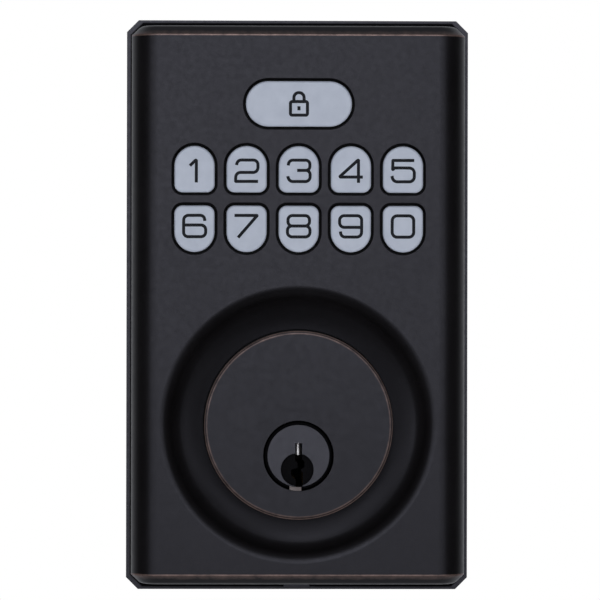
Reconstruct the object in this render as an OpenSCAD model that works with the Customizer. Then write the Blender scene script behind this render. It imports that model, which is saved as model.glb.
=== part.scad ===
// Keypad deadbolt lock, outside assembly: a cast cover with eleven push keys over a pin tumbler
// cylinder, on a back plate that is bolted through the door.
//
// Every shape is drawn face on: x to the right, y up and z out of the door towards the user, with
// z = 0 on the door's face and the origin on the axis of the door's cross bore. face_on() then
// stands the drawing up, so that the lock faces -Y and +Z is up.

/* [Body] */
// Width of the back plate
plate_w = 72; // [70:1:78]
// Height of the back plate
plate_h = 120; // [118:1:126]
// Thickness of the back plate
plate_t = 3; // [2.5:0.1:3.5]
// Size of the cut across the back plate's corners
plate_cut = 2.5; // [2:0.1:5]
// Height of the plate's centre above the bore axis
plate_rise = 24.7; // [23:0.1:26]
// Distance from the door to the cover's front face
body_depth = 22; // [21:0.5:24]
// How far the plate shows beside the cover
side_margin = 1.4; // [0.8:0.1:2]
// How far the plate shows above and below the cover
end_margin = 2.2; // [1:0.1:2.5]
// Radius of the cover's rolled sides
roll_r = 5.7; // [5:0.1:6.5]
// Bevel along the cover's top and bottom edges
end_bevel = 2; // [1:0.1:3]
// Wall of the cover
cover_wall = 2.2; // [1.8:0.1:2.4]
// Thickness of the door gasket
gasket_t = 1.2; // [1:0.1:1.5]
// Thickness of the seal between plate and cover
seal_t = 0.4; // [0.3:0.1:0.5]

/* [Dish and collar] */
// Radius where the dish leaves the front face
dish_rim_r = 28.8; // [28:0.1:28.9]
// Radius of the dish's rounded lip
dish_lip = 3; // [2.5:0.1:3.2]
// Slope where the dish is steepest
dish_steep = 55; // [45:1:60]
// Radius of the cove between the dish's lip and its floor
dish_cove = 4.5; // [4:0.1:5]
// Slope where the cove runs into the floor
dish_slope = 20; // [16:1:22]
// Radius of the floor's hollow curve
dish_floor = 25; // [24:1:40]
// Diameter of the round collar
collar_d = 38.8; // [37:0.1:39]
// How far the collar stands proud of the front face
collar_proud = 3; // [1:0.1:4]
// Bevel round the collar's face
collar_bevel = 0.6; // [0.3:0.1:1]

/* [Keypad] */
// Width of a digit key
key_w = 8.3; // [7.8:0.1:8.5]
// Height of a digit key
key_h = 9.6; // [9:0.1:10]
// Distance between neighbouring keys
key_pitch = 10.75; // [10.6:0.05:11]
// Height of the upper row above the bore axis
upper_row = 52.7; // [52:0.1:53]
// Height of the lower row above the bore axis
lower_row = 40.4; // [40:0.1:41]
// Width of the lock key
lock_key_w = 21.9; // [20:0.1:24]
// Height of the lock key
lock_key_h = 9.4; // [9:0.1:10]
// Height of the lock key above the bore axis
lock_row = 66.2; // [66:0.1:67]
// Gap between a key and its hole
key_gap = 0.4; // [0.3:0.05:0.45]
// How far a key stands proud of the front face
key_proud = 0.4; // [0.2:0.1:0.8]
// Travel of a key
key_travel = 1; // [0.6:0.1:1]

/* [Cylinder] */
// Diameter of the key plug
plug_d = 12.7; // [12.5:0.1:12.9]
// Drop of the plug's axis below the bore axis
plug_drop = 6.3; // [6:0.1:6.6]
// Width of the dark ring round the plug's face
plug_ring = 0.85; // [0.5:0.05:1]
// Distance between neighbouring pin chambers
pin_pitch = 3.8; // [3.6:0.1:4]
// Radius of the tumbler pins
pin_r = 1.4; // [1.3:0.05:1.45]
// Width of the tailpiece blade
blade_w = 7; // [6:0.1:7.2]
// Thickness of the tailpiece blade
blade_t = 2.2; // [1.8:0.1:2.4]
// Distance from the door's face to the tailpiece's end
blade_reach = 58; // [50:1:70]

/* [Mounting] */
// Radius of the spigot that centres the lock in the cross bore
spigot_r = 26.4; // [26:0.1:26.8]
// How far the spigot goes into the door
spigot_depth = 3; // [2:0.5:5]
// Distance between the two through bolts
bolt_spacing = 40; // [39:0.5:41]
// Radius of the thread in a bolt post
bolt_r = 1.75; // [1.6:0.05:2]
// How far the bolt posts go into the door
post_depth = 15; // [10:1:20]

/* [Hidden] */
$fn = 64;
e = 0.01;               // overshoot of a cutter past a face
fit = 0.05;             // running clearance on a radius

// Heights above the door's face
plate_z = gasket_t;
seal_z = plate_z + plate_t;
cover_z = seal_z + seal_t;
face_z = body_depth;
inner_z = face_z - cover_wall;
collar_z = face_z + collar_proud;

// Cover
cover_w = plate_w - 2 * side_margin;
cover_h = plate_h - 2 * end_margin;
boss_r = 3;
boss_x = cover_w / 2 - cover_wall - boss_r - 0.2;
boss_y = cover_h / 2 - cover_wall - boss_r - 0.2;
notch_w = 6;
notch_h = 1.2;

// Dish: the centres of its three arcs, as distance from the axis and height, and the height of
// its floor at the collar
lip_c = [dish_rim_r, face_z - dish_lip];
cove_c = lip_c + (dish_lip + dish_cove) * [-sin(dish_steep), cos(dish_steep)];
floor_c = cove_c + (dish_floor - dish_cove) * [-sin(dish_slope), cos(dish_slope)];
floor_z = floor_c.y - sqrt(pow(dish_floor, 2) - pow(collar_d / 2 - floor_c.x, 2));
bowl_wall = 2;

// Keypad stack
key_corner = 1.7;
flange = 0.75;
flange_t = 1.4;
flange_top = inner_z - 0.2;
flange_z = flange_top - flange_t;
pcb_z = flange_z - 4.8;
pcb_t = 1.6;
pcb_top = pcb_z + pcb_t;
mat_top = pcb_top + 0.8;
pcb_w = 62.4;
pcb_low = 29;
pcb_high = 73.4;
pcb_boss_x = 28.9;
pcb_boss_y = [31.7, 70.2];
pcb_boss_r = 2.2;
led_spots = concat([for (i = [-1.5:1:1.5], y = [upper_row, lower_row]) [i * key_pitch, y]],
                   [for (s = [-1, 1]) [s * 7.5, lock_row]]);
row_x = [for (i = [-2:2]) i * key_pitch];

// Cylinder
plug_r = plug_d / 2;
plug_bore = plug_r + fit;
plug_top = collar_z - 0.4;
shell_r = 8.4;
shell_front = collar_z - 3;
shell_rear = -8;
pin_z = [for (i = [0:4]) shell_front - 4.6 - i * pin_pitch];
pin_tips = [-0.9, 0.4, -0.3, 0.8, 0];
chamber_r = pin_r + fit;
driver_len = 4.6;
spring_len = 5.2;
chamber_top = plug_bore + driver_len + spring_len;
strip_t = 0.8;
bible_w = 9;
bible_rear = pin_z[4] - 3.4;

// Tail end of the plug
plug_rear = shell_rear - 0.3;
boss_end = -11.5;
dog_end = -13;
dog_half = 19;
ear_half = 24.5;
cap_r = 7.4;
cap_rear = -14.9;
cap_wall = 1.6;

// ---- Outlines ----------------------------------------------------------------------------------

module rounded_rect(w, h, r) {
    square([w - 2 * r, h], center = true);
    square([w, h - 2 * r], center = true);
    for (x = [-1, 1], y = [-1, 1])
        translate([x * (w / 2 - r), y * (h / 2 - r)]) circle(r);
}

module cut_rect(w, h, cut) {
    x = w / 2;
    y = h / 2;
    polygon([[x, y - cut], [x - cut, y], [cut - x, y], [-x, y - cut],
             [-x, cut - y], [cut - x, -y], [x - cut, -y], [x, cut - y]]);
}

// A digit key: one end is a half round, the other has small corners. grow widens it all round.
module digit_outline(grow = 0) {
    w = key_w + 2 * grow;
    h = key_h + 2 * grow;
    r = key_corner + grow;
    translate([0, h / 2 - w / 2]) circle(w / 2);
    translate([-w / 2, -h / 2 + r]) square([w, h - r - w / 2]);
    translate([-w / 2 + r, -h / 2]) square([w - 2 * r, r + e]);
    for (s = [-1, 1]) translate([s * (w / 2 - r), -h / 2 + r]) circle(r);
}

module lock_outline(grow = 0) {
    w = lock_key_w + 2 * grow;
    h = lock_key_h + 2 * grow;
    square([w - h, h], center = true);
    for (s = [-1, 1]) translate([s * (w - h) / 2, 0]) circle(h / 2);
}

// All eleven outlines in their places
module key_outlines(grow = 0) {
    for (x = row_x) {
        translate([x, upper_row]) digit_outline(grow);
        translate([x, lower_row]) mirror([0, 1]) digit_outline(grow);
    }
    translate([0, lock_row]) lock_outline(grow);
}

module at_keys() {
    for (x = row_x, y = [upper_row, lower_row]) translate([x, y]) children();
    translate([0, lock_row]) children();
}

// Two opposite wedges of a round, each reaching half degrees to both sides of its middle
module wedge_pair(r, half, at) {
    for (turn = [0, 180])
        rotate(at + turn)
            polygon([[0, 0], [r, -r * tan(half)], [r, r * tan(half)]]);
}

// Winding keyway of a paper clip section, open at the bottom of the plug
module keyway_outline() {
    polygon([
        [-0.65, 2.6], [0.75, 2.6], [0.75, -0.7], [1.25, -1.2], [1.25, -2.3], [0.45, -2.9],
        [0.9, -3.5], [0.9, -7], [-0.55, -7], [-0.55, -5], [-1.5, -4], [-1.5, -2.9],
        [-0.15, -2.5], [-0.15, -1.5], [-0.65, -1]
    ]);
}

// ---- Solids ------------------------------------------------------------------------------------

module face_on() {
    rotate([90, 0, 0]) children();
}

module slab(z0, z1) {
    translate([0, 0, z0]) linear_extrude(z1 - z0) children();
}

module rod(r, z0, z1, x = 0, y = 0) {
    translate([x, y, z0]) cylinder(r = r, h = z1 - z0);
}

// A block with rolled long sides and a bevel that follows them round both ends
module pillow(w, h, z0, z1, roll, bevel) {
    flat = w / 2 - roll;
    mid = h / 2 - bevel;
    half_profile = [[flat, z0], [w / 2, z0], [w / 2, z1 - roll], [flat, z1 - roll]];
    translate([0, 0, z0]) linear_extrude(z1 - roll - z0)
        polygon([[w / 2, mid], [w / 2 - bevel, h / 2], [-w / 2 + bevel, h / 2], [-w / 2, mid],
                 [-w / 2, -mid], [-w / 2 + bevel, -h / 2], [w / 2 - bevel, -h / 2],
                 [w / 2, -mid]]);
    rotate([90, 0, 90]) translate([0, 0, -flat]) linear_extrude(2 * flat)
        polygon([[-h / 2, z0], [h / 2, z0], [h / 2, z1 - bevel], [mid, z1], [-mid, z1],
                 [-h / 2, z1 - bevel]]);
    for (s = [-1, 1]) translate([s * flat, 0, z1 - roll]) rotate([90, 0, 0]) {
        cylinder(r = roll, h = 2 * mid, center = true);
        for (m = [0, 1]) mirror([0, 0, m])
            translate([0, 0, mid]) cylinder(r1 = roll, r2 = roll - bevel, h = bevel);
    }
}

module at_cover_corners() {
    for (x = [-1, 1], y = [-1, 1])
        translate([x * boss_x, plate_rise + y * boss_y]) children();
}

module at_pcb_bosses() {
    for (s = [-1, 1], y = pcb_boss_y) translate([s * pcb_boss_x, y]) children();
}

// Screw with its head towards the door, in holes along z
module countersunk_screw(head_z, tip_z, r, head_r) {
    translate([0, 0, head_z]) cylinder(r1 = head_r, r2 = r, h = head_r - r);
    translate([0, 0, head_z + head_r - r - e]) cylinder(r = r, h = tip_z - head_z - head_r + r);
}

module screw_recess(z) {
    translate([0, 0, z - e]) rotate(45) linear_extrude(1 + e) {
        square([2.4, 0.6], center = true);
        square([0.6, 2.4], center = true);
    }
}

// ---- Housing -----------------------------------------------------------------------------------

module back_plate() {
    difference() {
        union() {
            slab(plate_z, seal_z)
                translate([0, plate_rise]) cut_rect(plate_w, plate_h, plate_cut);
            difference() {
                rod(spigot_r, -spigot_depth, plate_z + e);
                rod(spigot_r - 2, -spigot_depth - e, plate_z);
            }
            slab(seal_z - e, seal_z + 1.6)
                translate([0, plate_rise]) difference() {
                    rounded_rect(cover_w - 2 * cover_wall - 0.8, cover_h - 2 * cover_wall - 0.8, 2);
                    rounded_rect(cover_w - 2 * cover_wall - 3.6, cover_h - 2 * cover_wall - 3.6, 1);
                }
            translate([-notch_w / 2 + 0.3, plate_rise - plate_h / 2 + 0.6, seal_z - e])
                cube([notch_w - 0.6, end_margin + 0.6, seal_t + notch_h - 0.2]);
        }
        at_cover_corners() {
            rod(1.7, plate_z - e, seal_z + 2);
            translate([0, 0, plate_z - e]) cylinder(r1 = 3.1, r2 = 1.6, h = 1.5);
            rod(boss_r + 0.4, seal_z, seal_z + 2);
        }
        translate([0, -plug_drop]) rod(shell_r + 0.1, plate_z - e, seal_z + 1);
        translate([-bible_w / 2 - 0.1, -plug_drop, plate_z - e])
            cube([bible_w + 0.2, chamber_top + strip_t + 0.1, plate_t + 1]);
        for (s = [-1, 1]) {
            translate([s * bolt_spacing / 2, 0]) rod(2.8, plate_z - e, seal_z + e);
            translate([s * 13, 3]) {
                rod(2, plate_z - e, seal_z + e);
                rod(3.6, plate_z - e, plate_z + 1.6);
            }
        }
        slab(plate_z - e, seal_z + e) translate([0, 21.8]) rounded_rect(8.4, 3.4, 1.6);
    }
}

module door_gasket() {
    slab(0, gasket_t) translate([0, plate_rise]) difference() {
        cut_rect(plate_w - 1, plate_h - 1, plate_cut);
        rounded_rect(plate_w - 9, plate_h - 9, 2);
    }
}

// The space between an arc and a height above it, from slope a out to slope b
module above_arc(centre, r, a, b, top) {
    x = centre.x + r * sin(a) - e;
    z = centre.y - r * cos(b);
    width = centre.x + r * sin(b) - x;
    translate([x, z + e / 2]) square([width, top - z - e / 2]);
    intersection() {
        translate(centre) circle(r, $fn = 360);
        translate([x, centre.y - r]) square([width, z - centre.y + r + e]);
    }
}

module dish_recess() {
    x = lip_c.x - dish_lip * sin(dish_steep);
    z = lip_c.y + dish_lip * cos(dish_steep);
    rotate_extrude() {
        above_arc(floor_c, dish_floor, 0, dish_slope, face_z + 1);
        above_arc(cove_c, dish_cove, dish_slope, dish_steep, face_z + 1);
        difference() {
            translate([x - e, z]) square([dish_rim_r - x + e, face_z + 1 - z]);
            translate(lip_c) circle(dish_lip, $fn = 120);
        }
    }
}

// Solid behind the dish, which the recess then hollows to an even wall
module dish_backing() {
    rotate_extrude() {
        above_arc(floor_c, dish_floor + bowl_wall, 0, dish_slope, inner_z + e);
        above_arc(cove_c, dish_cove + bowl_wall, dish_slope, dish_steep, inner_z + e);
    }
}

module front_cover() {
    difference() {
        union() {
            difference() {
                translate([0, plate_rise])
                    pillow(cover_w, cover_h, cover_z, face_z, roll_r, end_bevel);
                translate([0, plate_rise])
                    pillow(cover_w - 2 * cover_wall, cover_h - 2 * cover_wall, cover_z - 1,
                           inner_z, roll_r - cover_wall, end_bevel - 1);
            }
            dish_backing();
            at_cover_corners() rod(boss_r, seal_z, inner_z + e);
            at_pcb_bosses() rod(pcb_boss_r, pcb_top, inner_z + e);
        }
        dish_recess();
        rod(collar_d / 2 + 0.3, cover_z, face_z + 1);
        slab(inner_z - 1, face_z + 1) key_outlines(key_gap);
        at_cover_corners() rod(1.25, seal_z - e, seal_z + 9);
        at_pcb_bosses() rod(0.9, pcb_top - e, inner_z);
        translate([-notch_w / 2, plate_rise - cover_h / 2 - 1, cover_z - e])
            cube([notch_w, cover_wall + 2, notch_h]);
    }
}

module cover_seal() {
    difference() {
        slab(seal_z, cover_z) translate([0, plate_rise]) difference() {
            rounded_rect(cover_w - 1.2, cover_h - 1.2, 1.6);
            rounded_rect(cover_w - 2 * cover_wall - 0.6, cover_h - 2 * cover_wall - 0.6, 2.1);
            translate([-notch_w / 2, -cover_h / 2 - 1]) square([notch_w, cover_wall + 2]);
        }
        at_cover_corners() rod(boss_r + 0.1, seal_z - e, cover_z + e);
    }
}

module cover_screws() {
    at_cover_corners() difference() {
        countersunk_screw(plate_z + 0.1, seal_z + 6, 1.25 - e, 2.8);
        screw_recess(plate_z + 0.1);
    }
}

// ---- Keypad ------------------------------------------------------------------------------------

// Cap, retaining flange and plunger of one key. Children 0 to 1 draw its cap and its flange.
module key_body() {
    slab(flange_top - e, face_z + key_proud) children(0);
    slab(flange_z, flange_top) children(1);
    rod(1.5, pcb_top + 1.4, flange_z + e);
}

module digit_key(digit) {
    place = (digit + 9) % 10;
    lower = place > 4;
    translate([row_x[place % 5], lower ? lower_row : upper_row])
        mirror([0, lower ? 1 : 0]) key_body() {
            digit_outline();
            digit_outline(flange);
        }
}

module key_lock() {
    translate([0, lock_row]) key_body() {
        lock_outline();
        lock_outline(flange);
    }
}

module key_guide() {
    gap = flange + 0.25;
    difference() {
        translate([0, (pcb_low + pcb_high) / 2]) {
            slab(mat_top, inner_z - 1) rounded_rect(pcb_w - 1, pcb_high - pcb_low, 1.5);
            slab(inner_z - 1 - e, inner_z)
                rounded_rect(cover_w - 2 * roll_r - 0.4, pcb_high - pcb_low, 1.5);
        }
        for (y = [upper_row, lower_row])
            slab(mat_top - e, inner_z + e) translate([0, y])
                rounded_rect(4 * key_pitch + key_w + 2 * gap, key_h + 2 * gap, 2);
        slab(mat_top - e, inner_z + e) translate([0, lock_row])
            rounded_rect(lock_key_w + 2 * gap, lock_key_h + 2 * gap, 2);
        at_pcb_bosses() rod(pcb_boss_r + 0.1, mat_top - e, inner_z + e);
    }
}

module key_mat() {
    difference() {
        union() {
            slab(pcb_top, mat_top) translate([0, (pcb_low + pcb_high) / 2])
                rounded_rect(pcb_w - 2, pcb_high - pcb_low - 1, 1.5);
            at_keys() translate([0, 0, mat_top - e])
                cylinder(r1 = 3.8, r2 = 3, h = flange_z - mat_top + e);
        }
        at_keys() {
            rod(2.7, pcb_top - e, mat_top);
            translate([0, 0, mat_top - e])
                cylinder(r1 = 3.2, r2 = 2.4, h = flange_z - mat_top + 3 * e);
        }
        at_pcb_bosses() rod(pcb_boss_r + 0.1, pcb_top - e, mat_top + e);
        for (p = led_spots) translate(p) rod(1.1, pcb_top - e, mat_top + e);
    }
}

module switch_domes() {
    at_keys() translate([0, 0, pcb_top]) {
        cylinder(r1 = 2.4, r2 = 1.9, h = 0.25);
        translate([0, 0, 0.25 - e]) cylinder(r1 = 1.9, r2 = 1, h = 0.15);
    }
}

module keypad_pcb() {
    difference() {
        slab(pcb_z, pcb_top) translate([0, (pcb_low + pcb_high) / 2])
            rounded_rect(pcb_w, pcb_high - pcb_low, 1.5);
        at_pcb_bosses() rod(1.2, pcb_z - e, pcb_top + e);
    }
}

module pcb_screws() {
    at_pcb_bosses() {
        difference() {
            rod(2, pcb_z - 1.3, pcb_z);
            screw_recess(pcb_z - 1.3);
        }
        rod(0.9 - e, pcb_z - e, pcb_top + 3);
    }
}

module backlight_leds() {
    for (p = led_spots) translate([p[0] - 0.8, p[1] - 0.4, pcb_top]) cube([1.6, 0.8, 0.6]);
}

// A flat chip package with gull wing leads on two sides, hanging from the board's back
module chip(w, h, t, leads) {
    translate([-w / 2, -h / 2, pcb_z - t]) cube([w, h, t]);
    for (i = [0:leads - 1], s = [-1, 1])
        translate([s * (w / 2 + 0.45) - 0.5, (i + 0.5) * h / leads - h / 2 - 0.2, pcb_z - 0.4])
            cube([1, 0.4, 0.4]);
}

module controller_chips() {
    translate([-14, 56]) chip(9, 9, 1.4, 7);
    translate([-15, 42]) chip(5, 4, 1.6, 4);
    translate([-3, 42]) chip(5, 4, 1.6, 4);
    for (i = [0:5]) translate([-24 + 3.6 * i, 65, pcb_z - 0.6]) cube([2, 1.2, 0.6]);
}

module radio_module() {
    translate([4, 44, pcb_z - 0.9]) cube([14, 18, 0.9]);
    translate([5, 45, pcb_z - 2.9]) cube([12, 13, 2.01]);
}

module piezo_buzzer() {
    difference() {
        rod(5.5, pcb_z - 3.4, pcb_z, 24.2, 51);
        rod(0.9, pcb_z - 3.4 - e, pcb_z - 2, 24.2, 51);
    }
}

module harness_header() {
    difference() {
        translate([-6, 35, pcb_z - 5]) cube([12, 5, 5]);
        translate([-5.2, 35.8, pcb_z - 5 - e]) cube([10.4, 3.4, 4]);
    }
    for (i = [0:4]) translate([-4.3 + 2 * i, 37.2, pcb_z - 4.4]) cube([0.6, 0.6, 4]);
}

module cable_grommet() {
    difference() {
        union() {
            slab(plate_z - 0.8, seal_z + 0.8) translate([0, 21.8]) rounded_rect(8.4, 3.4, 1.6);
            slab(plate_z - 0.8, plate_z) translate([0, 21.8]) rounded_rect(10, 4.2, 2);
            slab(seal_z, seal_z + 0.8) translate([0, 21.8]) rounded_rect(10, 4.2, 2);
        }
        slab(plate_z - 1, seal_z + 1) translate([0, 21.8]) rounded_rect(6, 1.6, 0.7);
    }
}

// ---- Cylinder ----------------------------------------------------------------------------------

module cylinder_collar() {
    r = collar_d / 2;
    difference() {
        rotate_extrude()
            polygon([[0, seal_z], [r, seal_z], [r, collar_z - collar_bevel],
                     [r - collar_bevel, collar_z], [0, collar_z]]);
        difference() {
            rod(r - 2.4, seal_z - e, shell_front);
            for (s = [-1, 1]) rod(3, seal_z - 1, shell_front + 1, s * 13, 3);
        }
        rotate_extrude() translate([r - 0.9, floor_z - bowl_wall / 2 - 0.6]) square([2, 1.2]);
        for (s = [-1, 1]) rod(1.6, seal_z - e, seal_z + 10, s * 13, 3);
        translate([0, -plug_drop]) rod(plug_r + plug_ring, shell_front - e, collar_z + e);
    }
}

module collar_seal() {
    rotate_extrude() translate([collar_d / 2 - 0.3, floor_z - bowl_wall / 2]) circle(0.58);
}

module cylinder_body() {
    translate([0, -plug_drop]) difference() {
        union() {
            rod(shell_r, shell_rear, shell_front);
            rod(shell_r + 2, seal_z, seal_z + 1.6);
            translate([-bible_w / 2, 0, bible_rear])
                cube([bible_w, chamber_top + strip_t, shell_front - bible_rear]);
        }
        rod(plug_bore, shell_rear - e, shell_front + e);
        for (z = pin_z) translate([0, 0, z]) rotate([-90, 0, 0])
            cylinder(r = chamber_r, h = chamber_top + e);
        translate([-2.2, chamber_top, bible_rear + 1])
            cube([4.4, strip_t + 1, shell_front - bible_rear - 2]);
        for (s = [-1, 1]) drill_pin(s);
    }
}

module drill_pin(side) {
    translate([side * 2.9, 8.4, shell_front - 6]) cylinder(r = 0.9, h = 6 + e);
}

module drill_pins() {
    translate([0, -plug_drop]) intersection() {
        for (s = [-1, 1]) drill_pin(s);
        slab(0, shell_front) square(60, center = true);
    }
}

// Small bright lug under the plug that the key's shoulder stops on
module key_stop() {
    translate([0, -plug_drop]) intersection() {
        difference() {
            rod(plug_r + plug_ring, shell_front + 1.4, plug_top - 0.5);
            rod(plug_r + 0.1, shell_front - e, plug_top);
        }
        translate([-1.8, -plug_r - 2, shell_front]) cube([2.4, 3, 4]);
    }
}

module key_plug() {
    translate([0, -plug_drop]) {
        difference() {
            union() {
                rod(plug_r, plug_rear, plug_top);
                rod(plug_r + 0.5, shell_front + 0.05, shell_front + 1.1);
                rod(5.6, boss_end, plug_rear + e);
            }
            slab(plug_rear + 1.5, plug_top + 1) keyway_outline();
            rod(3.4, plug_top - 0.9, plug_top + 1, -0.25, -plug_r + 3.5);
            for (i = [0:4]) translate([0, -2.4, pin_z[i]]) rotate([-90, 0, 0])
                cylinder(r = chamber_r, h = plug_r + 3);
        }
        slab(dog_end, boss_end + e) difference() {
            intersection() {
                circle(5.2);
                wedge_pair(7, dog_half, 45);
            }
            circle(3);
        }
    }
}

module bottom_pins() {
    top = plug_r - 0.25;
    translate([0, -plug_drop]) for (i = [0:4]) translate([0, pin_tips[i], pin_z[i]])
        rotate([-90, 0, 0]) {
            cylinder(r1 = 0.4, r2 = pin_r, h = 0.9);
            translate([0, 0, 0.9 - e]) cylinder(r = pin_r, h = top - pin_tips[i] - 0.9 + e);
        }
}

module driver_pins() {
    translate([0, -plug_drop]) for (z = pin_z) translate([0, plug_bore, z]) rotate([-90, 0, 0])
        cylinder(r = pin_r, h = driver_len);
}

// One compression spring as a swept ring of points; the ends are closed flat
module coil_spring(r, wire, length, turns) {
    sides = 5;
    steps = 8;
    n = turns * steps;
    rings = [for (i = [0:n])
        let (a = 360 * i / steps, z = wire + (length - 2 * wire) * i / n)
        [for (k = [0:sides - 1])
            let (b = 360 * k / sides, q = r + wire * cos(b))
            [q * cos(a), q * sin(a), z + wire * sin(b)]]];
    points = [for (ring = rings) each ring];
    walls = [for (i = [0:n - 1], k = [0:sides - 1])
        let (a = i * sides + k, b = i * sides + (k + 1) % sides)
        [a, a + sides, b + sides, b]];
    polyhedron(points, concat(walls, [[for (k = [0:sides - 1]) k]],
                              [[for (k = [0:sides - 1]) n * sides + sides - 1 - k]]));
}

module pin_springs() {
    translate([0, -plug_drop]) for (z = pin_z)
        translate([0, plug_bore + driver_len, z]) rotate([-90, 0, 0])
            coil_spring(1.05, 0.2, spring_len, 4);
}

module chamber_strip() {
    translate([-2.2, chamber_top - plug_drop, bible_rear + 1])
        cube([4.4, strip_t, shell_front - bible_rear - 2]);
}

module tail_cap() {
    translate([0, -plug_drop]) difference() {
        rod(cap_r, cap_rear, plug_rear - 0.1);
        rod(5.6 + fit, cap_rear + cap_wall, plug_rear);
        rod(4, cap_rear - e, plug_rear);
        for (a = [0:30:330]) rotate(a) rod(0.5, cap_rear - e, plug_rear, cap_r + 0.1, 0);
        translate([0, 0, -10]) rotate([0, 90, 0]) cylinder(r = 0.8, h = cap_r + 1);
    }
}

module cap_lock_screw() {
    translate([5.7, -plug_drop, -10]) rotate([0, 90, 0]) cylinder(r = 0.79, h = 1.5);
}

module tailpiece() {
    translate([0, -plug_drop]) {
        slab(dog_end + 0.1, boss_end - 0.1) union() {
            circle(2.8);
            intersection() {
                circle(5.1);
                wedge_pair(7, ear_half, 90);
            }
        }
        translate([-blade_t / 2, -blade_w / 2, -blade_reach])
            cube([blade_t, blade_w, blade_reach + dog_end + 0.1 + e]);
    }
}

module collar_screws() {
    for (s = [-1, 1]) translate([s * 13, 3]) {
        difference() {
            rod(3.2, plate_z - 0.2, plate_z + 1.6);
            screw_recess(plate_z - 0.2);
        }
        rod(1.6 - e, plate_z + 1.6 - e, seal_z + 8);
    }
}

module bolt_posts() {
    for (s = [-1, 1]) translate([s * bolt_spacing / 2, 0]) difference() {
        union() {
            rod(2.8, plate_z, seal_z);
            rod(3.8, -post_depth, plate_z);
        }
        rod(bolt_r, -post_depth - e, plate_z);
    }
}

// ---- Nodes -------------------------------------------------------------------------------------

bronze = [0.16, 0.15, 0.17];
key_grey = [0.64, 0.67, 0.74];

color(bronze) face_on() back_plate();
color([0.1, 0.1, 0.1]) face_on() door_gasket();
color(bronze) face_on() front_cover();
color([0.05, 0.05, 0.05]) face_on() cover_seal();
color("silver") face_on() cover_screws();
for (digit = [0:9]) color(key_grey) face_on() digit_key(digit);
color(key_grey) face_on() key_lock();
color([0.1, 0.1, 0.1]) face_on() key_guide();
color([0.8, 0.8, 0.8]) face_on() key_mat();
color("silver") face_on() switch_domes();
color("darkgreen") face_on() keypad_pcb();
color("silver") face_on() pcb_screws();
color("white") face_on() backlight_leds();
color([0.1, 0.1, 0.1]) face_on() controller_chips();
color("silver") face_on() radio_module();
color([0.08, 0.08, 0.08]) face_on() piezo_buzzer();
color("ivory") face_on() harness_header();
color([0.1, 0.1, 0.1]) face_on() cable_grommet();
color(bronze) face_on() cylinder_collar();
color([0.05, 0.05, 0.05]) face_on() collar_seal();
color("goldenrod") face_on() cylinder_body();
color("silver") face_on() key_stop();
color("gray") face_on() drill_pins();
color([0.25, 0.25, 0.28]) face_on() key_plug();
color("gold") face_on() bottom_pins();
color("gold") face_on() driver_pins();
color("silver") face_on() pin_springs();
color("goldenrod") face_on() chamber_strip();
color("goldenrod") face_on() tail_cap();
color("silver") face_on() cap_lock_screw();
color("silver") face_on() tailpiece();
color("silver") face_on() collar_screws();
color("silver") face_on() bolt_posts();
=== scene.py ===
"""The keypad lock as it looks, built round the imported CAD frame."""

from math import cos, hypot, pi, radians, sin, tan

import bpy
import numpy as np
from mathutils import Matrix, Vector
from mathutils.geometry import delaunay_2d_cdt


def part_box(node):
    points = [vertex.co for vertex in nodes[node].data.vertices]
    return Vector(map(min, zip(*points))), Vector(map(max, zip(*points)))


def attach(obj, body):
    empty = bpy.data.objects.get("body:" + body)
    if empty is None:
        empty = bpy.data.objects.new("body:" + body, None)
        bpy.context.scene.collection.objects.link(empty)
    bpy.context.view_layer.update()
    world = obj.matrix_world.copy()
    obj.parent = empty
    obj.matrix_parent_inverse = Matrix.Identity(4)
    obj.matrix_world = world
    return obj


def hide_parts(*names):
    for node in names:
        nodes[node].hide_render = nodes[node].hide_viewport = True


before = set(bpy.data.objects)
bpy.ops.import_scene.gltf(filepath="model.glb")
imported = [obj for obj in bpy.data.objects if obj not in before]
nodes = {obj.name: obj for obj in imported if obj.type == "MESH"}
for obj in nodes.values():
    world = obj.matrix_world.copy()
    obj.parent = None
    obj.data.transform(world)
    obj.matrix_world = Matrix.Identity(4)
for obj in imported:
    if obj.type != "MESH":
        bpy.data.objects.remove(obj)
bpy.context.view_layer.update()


# ---- Sizes --------------------------------------------------------------------------------------
# Everything is drawn face on, in mm: x to the right, y up and h out of the door.


def cad_corners(name):
    """The low and high corners (x, y, h) of a CAD node, in mm to two places."""
    (x0, y0, z0), (x1, y1, z1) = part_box(name)
    return [[round(1000 * v, 2) for v in corner] for corner in ((x0, z0, -y1), (x1, z1, -y0))]


(_, foot, _), (COVER_X, head, FRONT) = cad_corners("front_cover")
COVER_Y = round((head - foot) / 2, 2)  # half of its height, as COVER_X is half of its width
RISE = round((head + foot) / 2, 2)  # height of its middle above the bore's axis
BASE = cad_corners("cover_seal")[1][2]  # the cover's foot, on its seal
NOTCH_TOP = cad_corners("back_plate")[1][2]  # the plate's tongue fills the cover's notch
COLLAR_R, _, COLLAR_H = cad_corners("cylinder_collar")[1]
KEY_TOP = cad_corners("key_1")[1][2]
PLUG_Y = -6.3  # the plug's axis, below the bore's

ARC_STEP = 5  # degrees between the points of a drawn arc


# ---- Drawing ------------------------------------------------------------------------------------


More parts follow.
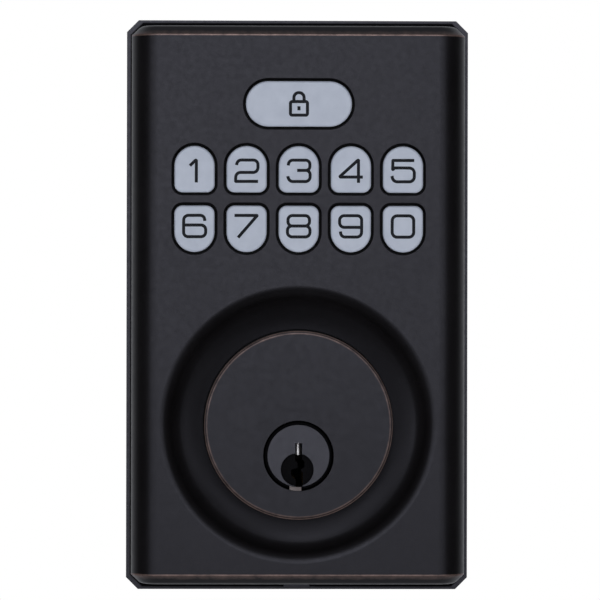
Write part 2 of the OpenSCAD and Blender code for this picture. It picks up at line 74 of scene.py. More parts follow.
def rounded(corners, steps=6):
    """The points (u, v, nu, nv, wear) of a line through corners (u, v, radius, wear), rounded
    off at each corner. The normal is on the left of the way that the line runs. Wear is greatest
    in the middle of a corner, or runs from one value to another if it is a pair."""
    out = []
    left = lambda d: np.array([-d[1], d[0]])
    for i, (u, v, radius, wear) in enumerate(corners):
        here = np.array([u, v], float)
        to, away = None, None
        if i > 0:
            to = here - np.array(corners[i - 1][:2], float)
            to /= np.linalg.norm(to)
        if i < len(corners) - 1:
            away = np.array(corners[i + 1][:2], float) - here
            away /= np.linalg.norm(away)
        if to is None or away is None:
            n = left(away if to is None else to)
            out.append((*here, *n, 0))
            continue
        turn = np.arctan2(to[0] * away[1] - to[1] * away[0], to @ away)
        worn = wear if isinstance(wear, tuple) else None
        if radius == 0:
            out.append((*here, *left(to), worn[0] if worn else wear))
            out.append((*here, *left(away), worn[1] if worn else wear))
            continue
        side = np.sign(turn)
        start = here - to * radius * tan(abs(turn) / 2)
        centre = start + left(to) * side * radius
        for k in range(steps + 1):
            a = turn * k / steps
            n0 = left(to)
            n = np.array([n0[0] * cos(a) - n0[1] * sin(a), n0[0] * sin(a) + n0[1] * cos(a)])
            share = k / steps
            rub = worn[0] + (worn[1] - worn[0]) * share if worn else wear * sin(pi * share)
            out.append((*(centre - side * radius * n), *n, rub))
    return np.array(out)


def arcs(*pieces):
    """A closed outline (x, y, nx, ny), anticlockwise, of arcs (x, y, radius, from, to) in
    degrees with straight lines between them."""
    out = []
    for x, y, r, a, b in pieces:
        count = max(2, int(abs(b - a) / ARC_STEP) + 1)
        for t in np.radians(np.linspace(a, b, count)):
            out.append((x + r * cos(t), y + r * sin(t), cos(t), sin(t)))
    return np.array(out)


def circle(x=0, y=0, r=0, count=96):
    t = np.arange(count) * 2 * pi / count
    return np.stack([x + r * np.cos(t), y + r * np.sin(t), np.cos(t), np.sin(t)], 1)


def moved(outline, x=0, y=0, grow=0, flip=False):
    out = outline.copy()
    out[:, :2] += grow * out[:, 2:]
    if flip:
        out[:, [1, 3]] *= -1
        out = out[::-1]
    out[:, :2] += (x, y)
    return out


def inside(point, loops):
    """True if the point is within an odd number of the loops."""
    count = 0
    for loop in loops:
        a = np.asarray(loop)[:, :2]
        b = np.roll(a, -1, 0)
        spans = (a[:, 1] > point[1]) != (b[:, 1] > point[1])
        a, b = a[spans], b[spans]
        x = a[:, 0] + (point[1] - a[:, 1]) * (b[:, 0] - a[:, 0]) / (b[:, 1] - a[:, 1])
        count += int((x > point[0]).sum())
    return count % 2 == 1


class Skin:
    """A mesh in the making, with a normal and a share of wear at each point."""

    def __init__(self):
        self.points, self.normals, self.wear, self.faces, self.slots = [], [], [], [], []

    def add(self, points, normals, wear):
        start = len(self.points)
        self.points += [tuple(p) for p in np.reshape(points, (-1, 3))]
        self.normals += [tuple(n) for n in np.reshape(normals, (-1, 3))]
        self.wear += list(np.ravel(wear))
        return start

    def face(self, corners, slot=0):
        self.faces.append(tuple(corners))
        self.slots.append(slot)

    def grid(self, points, normals, wear, closed=False, skip=(), slot=0):
        rows, cols = points.shape[:2]
        start = self.add(points, normals, wear)
        at = lambda i, j: start + i * cols + j % cols
        for i in range(rows - 1):
            if np.allclose(points[i], points[i + 1]):
                continue
            for j in range(cols if closed else cols - 1):
                if (i, j) not in skip:
                    self.face((at(i, j), at(i + 1, j), at(i + 1, j + 1), at(i, j + 1)), slot)

    def sweep(self, outline, line, slot=0):
        """Carries a line (u outwards, h) round a closed outline."""
        p = np.zeros((len(line), len(outline), 3))
        n = np.zeros_like(p)
        p[..., :2] = outline[:, :2] + line[:, None, 0:1] * outline[:, 2:]
        p[..., 2] = line[:, 1:2]
        n[..., :2] = line[:, None, 2:3] * outline[:, 2:]
        n[..., 2] = line[:, 3:4]
        self.grid(p, n, np.broadcast_to(line[:, 4:5], p.shape[:2]), True, slot=slot)

    def fill(self, loops, h, up=1, slot=0):
        """A flat face at height h inside the first loop and outside the others."""
        points, edges = [], []
        for loop in loops:
            k, count = len(points), len(loop)
            points += [Vector((float(p[0]), float(p[1]))) for p in loop]
            edges += [(k + i, k + (i + 1) % count) for i in range(count)]
        co, _, tris, *_ = delaunay_2d_cdt(points, edges, [], 0, 1e-6)
        flat = np.array([(p.x, p.y, h) for p in co])
        tris = [t for t in tris if inside(flat[list(t), :2].mean(0), loops)]
        start = self.add(flat, [(0, 0, up)] * len(flat), [0] * len(flat))
        for t in tris:
            a, b, c = (flat[i, :2] for i in t[:3])
            turn = (b[0] - a[0]) * (c[1] - a[1]) - (b[1] - a[1]) * (c[0] - a[0])
            self.face([start + i for i in (t if turn * up > 0 else t[::-1])], slot)

    def make(self, name, body, materials, replaces=()):
        p, n = np.array(self.points), np.array(self.normals)
        key = np.round(np.hstack([p * 1e4, n * 1e3])).astype(np.int64)
        _, first, back = np.unique(key, axis=0, return_index=True, return_inverse=True)
        back = back.ravel()
        faces, slots = [], []
        for f, s in zip(self.faces, self.slots):
            g = [int(back[i]) for i in f]
            g = [v for i, v in enumerate(g) if v != g[i - 1]]
            if len(set(g)) > 2:
                faces.append(g)
                slots.append(s)
        p, n = p[first], n[first]
        world = np.stack([p[:, 0], -p[:, 2], p[:, 1]], 1) / 1000
        mesh = bpy.data.meshes.new(name)
        mesh.from_pydata(world.tolist(), [], faces)
        mesh.polygons.foreach_set("material_index", slots)
        mesh.polygons.foreach_set("use_smooth", [True] * len(faces))
        wear = mesh.attributes.new("wear", "FLOAT", "POINT")
        wear.data.foreach_set("value", np.array(self.wear, np.float32)[first])
        turned = np.stack([n[:, 0], -n[:, 2], n[:, 1]], 1)
        mesh.normals_split_custom_set_from_vertices(turned.tolist())
        for m in materials:
            mesh.materials.append(m)
        obj = bpy.data.objects.new(name, mesh)
        bpy.context.scene.collection.objects.link(obj)
        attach(obj, body)
        if replaces:
            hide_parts(*replaces)


# ---- Materials ----------------------------------------------------------------------------------

COPPER = (0.27, 0.185, 0.16)  # shows where the bronze coat is rubbed through
BRONZE = ((0.0050, 0.0043, 0.0045), (0.0075, 0.0066, 0.0070), 0.36)  # dark, light and roughness
# Near black painted shade, laid on the back plate along the cover's foot
PAINTED_SHADE = (0.001, 0.001, 0.001)


class Nodes:
    """A node tree, with short names for the nodes that it is built from."""

    def __init__(self, tree):
        self.tree = tree

    def node(self, kind, links=None, **settings):
        made = self.tree.nodes.new(kind)
        for key, value in settings.items():
            setattr(made, key, value)
        for key, value in (links or {}).items():
            self.put(made.inputs[key], value)
        return made

    def put(self, socket, value):
        if isinstance(value, bpy.types.NodeSocket):
            self.tree.links.new(value, socket)
        else:
            socket.default_value = value

    def span(self, value, a, b, low, high):
        """Maps a..b to low..high, and holds there."""
        values = {"Value": value, 1: a, 2: b, 3: low, 4: high}
        return self.node("ShaderNodeMapRange", values).outputs[0]

    def math(self, kind, a, b=0.0):
        return self.node("ShaderNodeMath", {0: a, 1: b}, operation=kind).outputs[0]


class Shader(Nodes):
    """A Principled material."""

    def __init__(self, name, **inputs):
        self.material = bpy.data.materials.new(name)
        self.material.use_nodes = True
        super().__init__(self.material.node_tree)
        self.main = self.tree.nodes["Principled BSDF"]
        for key, value in inputs.items():
            self.main.inputs[key.replace("_", " ")].default_value = value
        self.place = self.node("ShaderNodeTexCoord").outputs["Object"]

    def noise(self, scale, detail, roughness=0.55, stretch=None):
        place = self.place
        if stretch:
            place = self.node("ShaderNodeMapping", {"Vector": place, "Scale": stretch}).outputs[0]
        values = {"Vector": place, "Scale": scale, "Detail": detail, "Roughness": roughness}
        return self.node("ShaderNodeTexNoise", values).outputs["Fac"]

    def mix(self, share, a, b):
        made = self.node("ShaderNodeMix", data_type="RGBA")
        self.put(made.inputs[0], share)
        for socket, colour in ((6, a), (7, b)):
            value = (*colour, 1) if isinstance(colour, tuple) else colour
            self.put(made.inputs[socket], value)
        return made.outputs[2]

    def bump(self, height, distance, strength, before=None):
        values = {"Height": height, "Distance": distance, "Strength": strength}
        if before:
            values["Normal"] = before
        return self.node("ShaderNodeBump", values).outputs["Normal"]

    def finish(self, **sockets):
        for key, value in sockets.items():
            self.put(self.main.inputs[key.replace("_", " ")], value)
        return self.material


def bronze(name, dark, light, rough, grain=1.0, level=0.30, painted_shade_mask=None):
    """Oil-rubbed bronze: a near black satin coat over cast metal, rubbed through at the edges.
    A painted shade mask gives the share of light, from 0 to 1, that is left: where it is low, shade is
    painted in near black, with a weaker reflection."""
    s = Shader(name, Metallic=0.0, IOR=1.5, Specular_Tint=(0.90, 0.88, 1.0, 1))
    cloud = s.noise(55, 4)
    fleck = s.noise(5200, 2)
    tone = s.mix(s.span(cloud, 0.35, 0.65, 0, 1), dark, light)
    tone = s.mix(s.span(fleck, 0.45, 0.75, 0, 0.35), tone, tuple(2.2 * c for c in light))
    wear = s.node("ShaderNodeAttribute", attribute_name="wear").outputs["Fac"]
    patchy = s.span(s.noise(420, 4, 0.7), 0.32, 0.68, 0.5, 1.0)
    rubbed = s.math("MULTIPLY", wear, patchy)
    tone = s.mix(s.span(rubbed, 0.15, 0.95, 0, 1), tone, COPPER)
    bare = s.span(rubbed, 0.1, 0.9, 0, 1)
    # Painted shade: near black, with a weaker reflection, where the mask is low
    if painted_shade_mask:
        lit = painted_shade_mask(s)
        tone = s.mix(lit, PAINTED_SHADE, tone)
        level = s.span(lit, 0, 1, 0.02, level)
    gloss = s.span(s.noise(900, 3), 0.3, 0.7, rough - 0.03, rough + 0.04)
    skin = s.bump(fleck, 0.00002 * grain, 0.35)
    skin = s.bump(s.noise(160, 2), 0.0002, 0.06 * grain, skin)
    return s.finish(
        Base_Color=tone, Metallic=s.span(bare, 0, 1, 0, 0.65), Roughness=gloss, Normal=skin,
        Specular_IOR_Level=level)


def painted_shade_beside_cover(s):
    """The mask of painted shade on the back plate: 0 against the cover's foot, where the plate is
    painted near black as shade, rising to 1 on the open strip of the plate, on its back and on the
    tongue that fills the cover's notch."""
    end_shade, corner_cut = 0.0011, 0.0022  # in m, as are the places below
    split = s.node("ShaderNodeSeparateXYZ", {"Vector": s.place}).outputs
    x = s.math("SUBTRACT", s.math("ABSOLUTE", split[0]), COVER_X / 1000)
    z = s.math("SUBTRACT", split[2], RISE / 1000)
    z = s.math("SUBTRACT", s.math("ABSOLUTE", z), COVER_Y / 1000 + end_shade)
    cut = s.math("MULTIPLY", s.math("ADD", s.math("ADD", x, z), corner_cut), cos(pi / 4))
    away = s.math("MAXIMUM", s.math("MAXIMUM", x, z), cut)
    beside = s.span(away, 0.00045, 0.00075, 0, 1)
    behind = s.span(split[1], -0.0041, -0.0039, 0, 1)
    tongue = s.span(split[1], -0.0048, -0.0044, 1, 0)
    return s.math("MAXIMUM", s.math("MAXIMUM", beside, behind), tongue)


def plastic(name, dark, light, rough, scale=120, grain=0.5, **inputs):
    s = Shader(name, **inputs)
    tone = s.mix(s.span(s.noise(scale, 3), 0.3, 0.7, 0, 1), dark, light)
    fine = s.noise(4500, 2)
    gloss = s.span(s.noise(700, 3), 0.3, 0.7, rough - 0.04, rough + 0.05)
    return s.finish(Base_Color=tone, Roughness=gloss, Normal=s.bump(fine, 0.00002, grain))


def metal(name, dark, light, rough, stretch=(1, 1, 1), scale=600, metallic=1.0):
    s = Shader(name, Metallic=metallic)
    lines = s.noise(scale, 4, 0.6, stretch)
    tone = s.mix(s.span(s.noise(140, 4), 0.3, 0.7, 0, 1), dark, light)
    gloss = s.span(lines, 0.3, 0.7, rough - 0.08, rough + 0.1)
    return s.finish(Base_Color=tone, Roughness=gloss, Normal=s.bump(lines, 0.00004, 0.25))


coat = bronze("cast_bronze", *BRONZE)
face_coat = bronze("collar_bronze", (0.0048, 0.0042, 0.0044), (0.0070, 0.0063, 0.0068), 0.36)
# A lighter, glossier copy of the bronze on the collar's side: painted light, for light falling on it
# from below, which the dish reflects
collar_side_painted_light = bronze("collar_side_painted_light_bronze", (0.006, 0.005, 0.005), (0.011, 0.009, 0.009), 0.4, level=0.8)
plug_coat = bronze("plug_bronze", (0.007, 0.0068, 0.008), (0.010, 0.0096, 0.011), 0.34, 1.5, 0.5)
# The back plate, with a strip of painted shade along the cover's foot
plate_coat = bronze("plate_bronze", *BRONZE, level=0.48, painted_shade_mask=painted_shade_beside_cover)
# Near black, weakly reflecting bronze: painted shade in the keyway, round the plug and in the bores
painted_shade_coat = bronze("painted_shade_bronze", (0.0016, 0.0016, 0.0018), (0.0048, 0.0042, 0.0044), 0.6, 2, 0.05)
key_skin = plastic("key_plastic", (0.50, 0.537, 0.622), (0.56, 0.597, 0.682), 0.38, 300, 0.3)
ink = plastic("digit_ink", (0.008, 0.009, 0.012), (0.012, 0.013, 0.017), 0.5, Specular_IOR_Level=0.12)
# Black plastic for the key guide, and painted shade on the keys' skirts, in the gaps round the keys
black_plastic = plastic(
    "black_plastic", (0.004, 0.004, 0.0045), (0.008, 0.008, 0.0085), 0.5, Specular_IOR_Level=0.15)
rubber = plastic("black_rubber", (0.009, 0.009, 0.0095), (0.017, 0.017, 0.017), 0.72, 200, 1.0)
silicone = plastic("clear_silicone", (0.55, 0.57, 0.6), (0.68, 0.7, 0.72), 0.45)
board = plastic("circuit_board", (0.006, 0.05, 0.025), (0.01, 0.075, 0.036), 0.35)
chip = plastic("chip_black", (0.014, 0.014, 0.015), (0.022, 0.022, 0.023), 0.55)
led = plastic("led_white", (0.8, 0.78, 0.6), (0.88, 0.86, 0.7), 0.25)
nylon = plastic("header_nylon", (0.62, 0.58, 0.46), (0.7, 0.66, 0.54), 0.45)
zinc = metal("zinc_steel", (0.50, 0.51, 0.52), (0.64, 0.64, 0.63), 0.46, metallic=0.6)
spring = metal("spring_steel", (0.42, 0.42, 0.43), (0.55, 0.55, 0.56), 0.26)
hard = metal("hard_steel", (0.095, 0.08, 0.078), (0.14, 0.12, 0.115), 0.42)
pin_steel = metal("pin_steel", (0.62, 0.59, 0.58), (0.78, 0.74, 0.72), 0.3, scale=200)
brass = metal("turned_brass", (0.50, 0.34, 0.12), (0.66, 0.47, 0.19), 0.27, (1, 12, 1))


# ---- Cover --------------------------------------------------------------------------------------

ROLL, WALL = 5.7, 2.2  # radius of the rolled sides, and thickness of the wall
FLAT = COVER_X - ROLL  # half width of the flat front
BEVEL, BEVEL_Y = 2.0, 1.9  # depth and length of the bevel at each end
BEVEL_R = 1.9  # round of the bevel's foot
END_H = 3.2  # depth below the front from which an end is one flat face
CREST_R, RUBBED = 0.3, 0.42  # round of the edge above a bevel, and width of its copper line
NOTCH_X = 3  # half width

DISH_R, HOLE_R = 28.8, 19.7  # where the dish starts in the front, and the hole for the collar
HOLE_FOOT, HOLE_TOP = 15.8, 17.9
LIP_R, COVE_R, FLOOR_R = 3, 4.5, 25  # radii of the dish's section
STEEP, SLOPE, INNER = 55, 20, 9.34  # degrees: lip to cove, cove to floor, floor to hole
DISH_POINTS = 256

KEY_W, KEY_H, KEY_R, GAP = 8.3, 9.6, 1.7, 0.4
LOCK_X, LOCK_R = 6.25, 4.7  # centre and radius of the wide key's round ends
KEY_PITCH = 10.75
COLUMNS = [KEY_PITCH * i for i in (-2, -1, 0, 1, 2)]
UPPER, LOWER, TOP_ROW = 52.7, 40.4, 66.2  # heights of the rows' middles
EDGE_R, MARGIN = 0.3, 0.5  # round of a key hole's edge, and the strip of front drawn with it

half = KEY_W / 2
digit_key = arcs(
    (half - KEY_R, KEY_R - KEY_H / 2, KEY_R, -90, 0),
    (0, KEY_H / 2 - half, half, 0, 180),
    (KEY_R - half, KEY_R - KEY_H / 2, KEY_R, 180, 270),
)
lock_key = arcs((LOCK_X, 0, LOCK_R, -90, 90), (-LOCK_X, 0, LOCK_R, 90, 270))
places = {}
for digits, row, flip in (("12345", UPPER, False), ("67890", LOWER, True)):
    for digit, column in zip(digits, COLUMNS):
        places["key_" + digit] = (digit_key, column, row, flip)
places["key_lock"] = (lock_key, 0, TOP_ROW, False)


def dish_line():
    """The dish from the collar's hole up its hollow floor, cove and lip to the front face."""
    steep, slope = radians(STEEP), radians(SLOPE)
    lip = np.array((DISH_R, FRONT - LIP_R))
    cove = lip + (LIP_R + COVE_R) * np.array((-sin(steep), cos(steep)))
    floor = cove + (FLOOR_R - COVE_R) * np.array((-sin(slope), cos(slope)))
    out = [(HOLE_R, HOLE_FOOT, -1, 0, 0), (HOLE_R, HOLE_TOP, -1, 0, 0.4)]
    for centre, r, a, b, count in ((floor, FLOOR_R, INNER, SLOPE, 12), (cove, COVE_R, SLOPE, STEEP, 14)):
        for t in np.radians(np.linspace(a, b, count)):
            out.append((centre[0] + r * sin(t), centre[1] - r * cos(t), -sin(t), cos(t), 0))
    for t in np.radians(np.linspace(STEEP, 0, 20)):
        out.append((lip[0] - LIP_R * sin(t), lip[1] + LIP_R * cos(t), -sin(t), cos(t), 0))
    return np.array(out)


def make_cover():
    """The cover's sides, ends and front, with its notch, the dish and a hole for each key."""
    s = Skin()
    turn = np.radians(np.linspace(180, 90, 25))
    left = [(-COVER_X, BASE, -1, 0)]
    left += [(ROLL * cos(t) - FLAT, FRONT - ROLL + ROLL * sin(t), cos(t), sin(t)) for t in turn]
    across = np.array(left + [(-x, h, -nx, nh) for x, h, nx, nh in left[::-1]])
    crest = COVER_Y - BEVEL_Y
    limit = crest - RUBBED
    edge = rounded(
        [(-END_H, COVER_Y, 0, 0), (-BEVEL, COVER_Y, BEVEL_R, 0.25), (0, crest, CREST_R, (0.5, 1)),
         (0, crest - 0.2, 0, 0.9), (0, limit, 0, 0), (0, 0, 0, 0)], 8)[:-1]
    other = edge[::-1] * (1, -1, 1, -1, 1)
    along = np.vstack([edge, other])
    w, y, nw, ny, wear = (along[:, k, None] for k in range(5))
    x, h, nx, nh = (across[None, :, k] for k in range(4))
    p = np.stack([x + w * nx, RISE + y + 0 * x, h + w * nh], 2)
    n = np.stack([nx * nw, ny + 0 * x, nh * nw], 2)
    middle = len(left) - 1
    s.grid(p, n, wear + 0 * x, skip={(len(edge) - 1, middle)})

    bottom = RISE - COVER_Y
    notch = [(NOTCH_X, BASE), (NOTCH_X, NOTCH_TOP), (-NOTCH_X, NOTCH_TOP), (-NOTCH_X, BASE)]
    for row, up in ((0, 1), (-1, -1)):
        ring = [tuple(q) for q in p[row]]
        if up < 0:
            ring += [(x, bottom, h) for x, h in notch]
        start = s.add(ring, [(0, up, 0)] * len(ring), [0] * len(ring))
        s.face([start + i for i in range(len(ring))][::up])
    for (ax, ah), (bx, bh), n in zip(notch, notch[1:], (-1, 0, 1)):
        quad = [(ax, bottom, ah), (ax, bottom + WALL, ah), (bx, bottom + WALL, bh), (bx, bottom, bh)]
        start = s.add(quad, [(n, 0, 0 if n else -1)] * 4, [0] * 4)
        s.face(range(start, start + 4))

    s.sweep(circle(count=DISH_POINTS), dish_line())
    loops = [
        [(-FLAT, RISE - limit), (FLAT, RISE - limit), (FLAT, RISE + limit), (-FLAT, RISE + limit)],
        circle(r=DISH_R, count=DISH_POINTS),
    ]
    lip = rounded([(0, FRONT - WALL, 0, 0), (0, FRONT, EDGE_R, 0), (MARGIN, FRONT, 0, 0)], 6)
    for outline, kx, ky, flip in places.values():
        hole = moved(outline, kx, ky, GAP, flip)
        s.sweep(hole, lip)
        loops.append(moved(hole, grow=MARGIN))
    s.fill(loops, FRONT)
    s.make("cover", "housing", [coat], ["front_cover"])


make_cover()


# ---- Keys ---------------------------------------------------------------------------------------

CAP_IN, CAP_R, CAP_H = 0.9, 0.42, 0.55  # the cap's rounded edge: its width, radius and height
SKIRT, SKIRT_TOP, KEY_FOOT = 0.75, 19.6, 18.2
INK_W, INK_H = 0.64, 0.012
UPPER_MARK, LOWER_MARK = -0.33, 0.55  # how far a digit stands above its key's middle

# Each mark is a list of strokes, and a stroke is the corners (x, y, radius) of its middle line.
W, H = 2.32, 2.2  # half of a digit's width and height
GLYPHS = {
    "1": [[(-0.95, 1.0, 0), (0.1, 2.05, 0.12), (0.38, 2.2, 0.1), (0.38, -H - 0.25, 0)]],
    "2": [[(-2.1, 1.15, 0), (-1.85, H, 0.9), (W, H, 0.95), (W, -0.35, 1.0), (-W + 0.05, -0.35, 1.0),
           (-W + 0.05, -H, 0.05), (2.35, -H, 0)]],
    "3": [[(-2.2, 1.1, 0), (-2.0, H, 0.9), (W - 0.05, H, 0.85), (W - 0.05, 0.1, 0.8), (-0.35, 0.1, 0)],
          [(0.9, 0.1, 0), (W, 0.1, 0.85), (W, -H, 0.95), (-2.1, -H, 1.0), (-2.25, -1.1, 0)]],
    "4": [[(2.45, -1.25, 0), (-2.4, -1.25, 0.1), (1.4, 2.2, 0.15), (1.55, 2.2, 0.05),
           (1.55, -H - 0.25, 0)]],
    "5": [[(2.3, H, 0), (-2.1, H, 0.05), (-2.15, 0.25, 0.05), (-1.8, 0.65, 0.4), (W, 0.65, 1.05),
           (W, -H, 1.05), (-2.0, -H, 1.0), (-2.3, -1.0, 0)]],
    "6": [[(2.15, 1.05, 0), (2.0, H, 0.9), (-W + 0.1, H, 1.0), (-W + 0.1, -H, 0.9), (W, -H, 0.95),
           (W, 0.2, 0.95), (-2.15, 0.2, 0)]],
    "7": [[(-2.5, H, 0), (2.2, H, 0.05), (-1.75, -H - 0.15, 0)]],
    "8": [[(0, 0.05, 0), (W - 0.1, 0.05, 0.9), (W - 0.1, H, 0.9), (-W + 0.1, H, 0.9),
           (-W + 0.1, 0.05, 0.9), (0, 0.05, 0)],
          [(0, 0.05, 0), (W, 0.05, 0.9), (W, -H, 0.95), (-W, -H, 0.95), (-W, 0.05, 0.9), (0, 0.05, 0)]],
    "9": [[(-2.15, -1.05, 0), (-2.0, -H, 0.9), (W - 0.1, -H, 1.0), (W - 0.1, H, 0.9), (-W, H, 0.95),
           (-W, -0.2, 0.95), (2.15, -0.2, 0)]],
    "0": [[(0, H, 0), (-W + 0.1, H, 1.0), (-W + 0.1, -H, 1.0), (W - 0.1, -H, 1.0), (W - 0.1, H, 1.0),
           (0, H, 0)]],
    "lock": [
        [(-1.05, 0.45, 0), (-1.05, 2.3, 1.02), (1.05, 2.3, 1.02), (1.05, 0.45, 0)],
        [(0, 0.45, 0), (-1.75, 0.45, 0.35), (-1.75, -2.35, 0.35), (1.75, -2.35, 0.35),
         (1.75, 0.45, 0.35), (0, 0.45, 0)],
        [(0, -0.5, 0), (0, -1.35, 0)],
    ],
}


def stroke(s, corners, h):
    """A flat inked line along rounded corners, rising a hair from h so that it can cross itself."""
    line = rounded([(*c, 0) for c in corners], 7)
    p = np.zeros((2, len(line), 3))
    p[0, :, :2] = line[:, :2] + line[:, 2:4] * INK_W / 2
    p[1, :, :2] = line[:, :2] - line[:, 2:4] * INK_W / 2
    p[..., 2] = h + 0.01 * np.linspace(0, 1, len(line))
    s.grid(p, np.broadcast_to((0, 0, 1.0), p.shape), np.zeros(p.shape[:2]))


def make_key(name, outline, x, y, flip):
    """A pale cap on a skirt painted black as shade for the gap round the key, and its mark."""
    s = Skin()
    outline = moved(outline, x, y, flip=flip)
    side = KEY_TOP - CAP_H
    s.sweep(outline, rounded([(-CAP_IN, KEY_TOP, 0, 0), (0, KEY_TOP, CAP_R, 0), (0, side, 0, 0)], 7))
    skirt = rounded(
        [(0, side, 0, 0), (0, SKIRT_TOP, 0, 0), (SKIRT, SKIRT_TOP, 0, 0), (SKIRT, KEY_FOOT, 0, 0),
         (-CAP_IN, KEY_FOOT, 0, 0)])
    # The skirt and its flange are painted black: painted shade for the gap round the key
    s.sweep(outline, skirt, 1)
    rim = moved(outline, grow=-CAP_IN)
    s.fill([rim], KEY_TOP)
    s.fill([rim], KEY_FOOT, -1, 1)
    s.make(name + "_cap", name + "_body", [key_skin, black_plastic], [name])
    mark = Skin()
    label = name[4:]
    above = LOWER_MARK if flip else UPPER_MARK
    if label == "lock":
        above = 0
    for i, part in enumerate(GLYPHS[label]):
        shifted = [(cx + x, cy + y + above, r) for cx, cy, r in part]
        stroke(mark, shifted, KEY_TOP + INK_H + INK_H * i)
    mark.make(name + "_mark", name + "_body", [ink])


for name, place in places.items():
    make_key(name, *place)


# ---- Collar -------------------------------------------------------------------------------------

FACE_R, SIDE_TOP, SIDE_FOOT = 18.0, 24.4, 12
RING_R, RING_EDGE = 7.2, 7.6  # the hole round the plug, and where its rounded edge meets the face
LEDGE_H, LEDGE_R, LEDGE_HOLE = 22.0, 19.0, 6.6  # the floor at the foot of that hole
RIM_POINTS = 192


def make_collar():
    """The collar's side, its face with two worn edges, and the floor round the plug."""
    s = Skin()
    rim = circle(count=RIM_POINTS)
    s.sweep(rim, rounded(
        [(FACE_R, COLLAR_H, 0, 0), (18.5, COLLAR_H, 0, 0), (18.82, COLLAR_H, 0.3, (0.45, 0.8)),
         (19.12, 24.93, 0, 0.15), (COLLAR_R, 24.8, 0.14, (1, 0.5)), (COLLAR_R, SIDE_TOP, 0, 0)], 6))
    # The side is in the painted light copy of the bronze
    s.sweep(rim, rounded([(COLLAR_R, SIDE_TOP, 0, 0), (COLLAR_R, SIDE_FOOT, 0, 0)]), 1)
    hole = circle(0, PLUG_Y)
    s.sweep(hole, rounded(
        [(RING_R, LEDGE_H, 0, 0), (RING_R, COLLAR_H, 0.1, 0.2), (RING_EDGE, COLLAR_H, 0, 0)], 4))
    s.fill([circle(r=FACE_R, count=RIM_POINTS), circle(0, PLUG_Y, RING_EDGE)], COLLAR_H)
    s.fill([circle(r=LEDGE_R), circle(0, PLUG_Y, LEDGE_HOLE)], LEDGE_H)
    s.make("collar", "housing", [face_coat, collar_side_painted_light], ["cylinder_collar"])


make_collar()


# ---- CAD pieces that keep their shape -------------------------------------------------------------


def dress(name, material, bevel=0.0, segments=2):
    """Gives a CAD node its material, and rounds its sharp edges by so many mm."""
    obj = nodes[name]
    obj.data.materials.clear()
    obj.data.materials.append(material)
    if bevel:
        mod = obj.modifiers.new("soft_edges", "BEVEL")
        mod.width = bevel / 1000
        mod.segments = segments
        mod.limit_method = "ANGLE"
        mod.angle_limit = radians(35)
        mod.harden_normals = True
        mod.use_clamp_overlap = True


dress("back_plate", plate_coat, 0.3, 3)
dress("door_gasket", rubber)
dress("cover_seal", rubber)
dress("cable_grommet", rubber)
dress("collar_seal", rubber)
dress("key_plug", plug_coat, 0.06)
dress("cylinder_body", brass, 0.15)
dress("tail_cap", brass, 0.15)
dress("chamber_strip", brass)
dress("bottom_pins", pin_steel)
dress("driver_pins", brass)
dress("pin_springs", spring)
dress("drill_pins", hard)
dress("key_stop", hard, 0.04)
dress("tailpiece", zinc, 0.15)
dress("bolt_posts", zinc, 0.2)
dress("collar_screws", zinc, 0.08)
dress("cover_screws", zinc, 0.08)
dress("cap_lock_screw", zinc)
dress("key_guide", black_plastic)
dress("key_mat", silicone)
dress("switch_domes", spring)
dress("keypad_pcb", board)
dress("pcb_screws", zinc)
dress("backlight_leds", led)
dress("controller_chips", chip)
dress("radio_module", spring)
dress("piezo_buzzer", chip)
dress("harness_header", nylon)

# The plug's face is coated. Its keyway, the ring round it and the bores are painted shade, in a near
# black bronze with a weak reflection, and the rest is bare brass.
PLUG_FACE, RING_END = -24.5, -18  # in mm along the world's y
FACING = 0.9  # a face looks along an axis if its normal has more than this of it
for name, bore in (("key_plug", 4), ("tail_cap", 4), ("cylinder_body", 6.8)):
    mesh = nodes[name].data
    mesh.materials.append(painted_shade_coat)
    mesh.materials.append(brass)
    for face in mesh.polygons:
        x, y, z = face.center * 1000
        if y > PLUG_FACE:
            bare = hypot(x, z - PLUG_Y) > bore and y > RING_END and face.normal.y > -FACING
            face.material_index = 2 if bare or face.normal.y > FACING else 1


# ---- Camera, floor and light ----------------------------------------------------------------------

FLOOR_SIDE, FLOOR_Z = 3.4, -0.42  # in m, as is all of the stage
MIDDLE = (0, 0, 0.025)
COOL = (0.90, 0.935, 1.0)

camera_data = bpy.data.cameras.new("camera")
camera_data.lens = 218.2
camera_data.sensor_width = 36
camera_data.clip_start, camera_data.clip_end = 0.01, 50
camera = bpy.data.objects.new("camera", camera_data)
bpy.context.scene.collection.objects.link(camera)
camera.location = (-0.0129, -0.772, 0.0262)
aim = Vector((0.0003, -0.022, 0.02575)) - camera.location
roll = Matrix.Rotation(radians(-0.12), 4, aim)
camera.rotation_mode = "QUATERNION"
camera.rotation_quaternion = (roll @ aim.to_track_quat("-Z", "Y").to_matrix().to_4x4()).to_quaternion()
bpy.context.scene.camera = camera

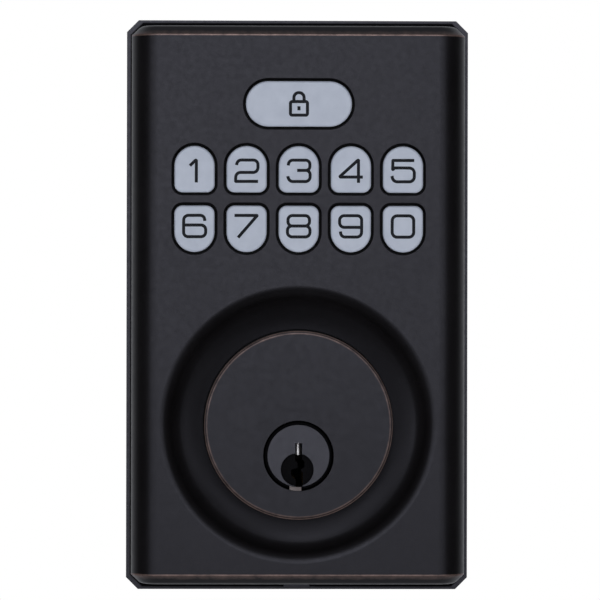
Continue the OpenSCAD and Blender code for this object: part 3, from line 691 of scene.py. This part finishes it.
floor_skin = Shader("pale_floor", Roughness=0.6)
floor_tone = floor_skin.mix(floor_skin.noise(3, 2), (0.80, 0.80, 0.81), (0.84, 0.84, 0.85))
floor_skin.finish(Base_Color=floor_tone, Emission_Color=floor_tone, Emission_Strength=0.4)
floor_mesh = bpy.data.meshes.new("floor")
turns = ((-1, -1), (1, -1), (1, 1), (-1, 1))
floor_mesh.from_pydata([(a * FLOOR_SIDE, b * FLOOR_SIDE, FLOOR_Z) for a, b in turns], [], [(0, 1, 2, 3)])
floor_mesh.materials.append(floor_skin.material)
floor = bpy.data.objects.new("floor", floor_mesh)
bpy.context.scene.collection.objects.link(floor)
floor.visible_glossy = False


def softbox(name, place, target, width, height, power):
    """A lamp of so many m by m and so many W, which looks from its place to a target."""
    lamp = bpy.data.lights.new(name, "AREA")
    lamp.shape = "RECTANGLE"
    lamp.size, lamp.size_y = width, height
    lamp.energy = power
    lamp.color = COOL
    obj = bpy.data.objects.new(name, lamp)
    bpy.context.scene.collection.objects.link(obj)
    obj.location = place
    obj.rotation_mode = "QUATERNION"
    obj.rotation_quaternion = (Vector(target) - Vector(place)).to_track_quat("-Z", "Y")


softbox("front_box", (-0.035, -1.2, 0.31), (-0.035, 0, 0.025), 0.38, 0.84, 3.65)
softbox("left_box", (-0.53, -1.2, 0.05), MIDDLE, 0.60, 0.38, 1.75)
softbox("right_box", (0.44, -1.2, 0.05), MIDDLE, 0.50, 0.38, 1.35)
softbox("top_box", (0, -0.25, 1.25), MIDDLE, 1.2, 0.8, 1.5)

# The world is white to the camera. To the lock it is dim, and brighter behind and straight below.
world = bpy.data.worlds.new("studio")
bpy.context.scene.world = world
world.use_nodes = True
world.node_tree.nodes.clear()
sky = Nodes(world.node_tree)
way = sky.node("ShaderNodeTexCoord").outputs["Generated"]
split = sky.node("ShaderNodeSeparateXYZ", {"Vector": way}).outputs
behind = sky.span(split["Y"], 0.05, 0.65, 0.01, 0.6)
below = sky.span(split["Z"], -0.75, -0.97, 0.0, 0.22)
strength = sky.math("ADD", behind, below)
dim = sky.node("ShaderNodeBackground", {"Color": (0.93, 0.96, 1.0, 1), "Strength": strength})
white = sky.node("ShaderNodeBackground", {"Color": (1, 1, 1, 1), "Strength": 1.0})
seen = sky.node("ShaderNodeLightPath").outputs["Is Camera Ray"]
both = sky.node("ShaderNodeMixShader", {0: seen, 1: dim.outputs[0], 2: white.outputs[0]})
sky.node("ShaderNodeOutputWorld", {0: both.outputs[0]})

bpy.context.scene.view_settings.view_transform = "Standard"
